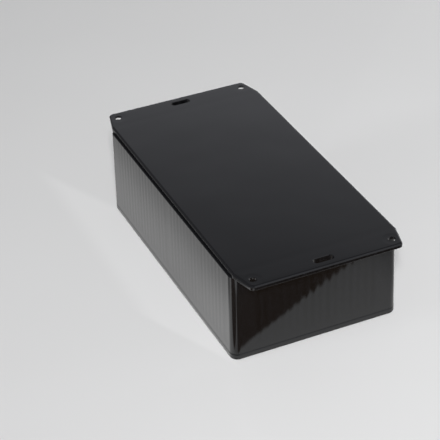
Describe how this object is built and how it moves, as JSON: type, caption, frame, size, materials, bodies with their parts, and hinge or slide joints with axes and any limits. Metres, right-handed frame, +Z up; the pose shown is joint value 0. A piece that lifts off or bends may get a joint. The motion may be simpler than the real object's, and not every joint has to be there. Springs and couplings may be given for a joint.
{
  "type": "flanged plastic project box",
  "caption": "Deep rectangular plastic enclosure with mounting flanges on its closed face, inner board guides, and a lid screwed on at the open end.",
  "frame": {"origin": "middle of the box's footprint, on the lid's outer face that it stands on", "axes": "+Z up from the lid to the mounting face, +Y along the length, +X across the width"},
  "size_m": [0.11, 0.221, 0.0623],
  "materials": {
    "case_plastic": "gloss",
    "lid_plastic": "gloss",
    "black_screws": "satin",
    "brass_inserts": "satin"
  },
  "bodies": {
    "root": {"case": "case_plastic", "lid": "lid_plastic", "lid_screw_1": "black_screws", "lid_screw_2": "black_screws", "lid_screw_3": "black_screws", "lid_screw_4": "black_screws", "lid_screw_5": "black_screws", "lid_screw_6": "black_screws", "insert_1": "brass_inserts", "insert_2": "brass_inserts", "insert_3": "brass_inserts", "insert_4": "brass_inserts", "insert_5": "brass_inserts", "insert_6": "brass_inserts"}
  },
  "joints": []
}
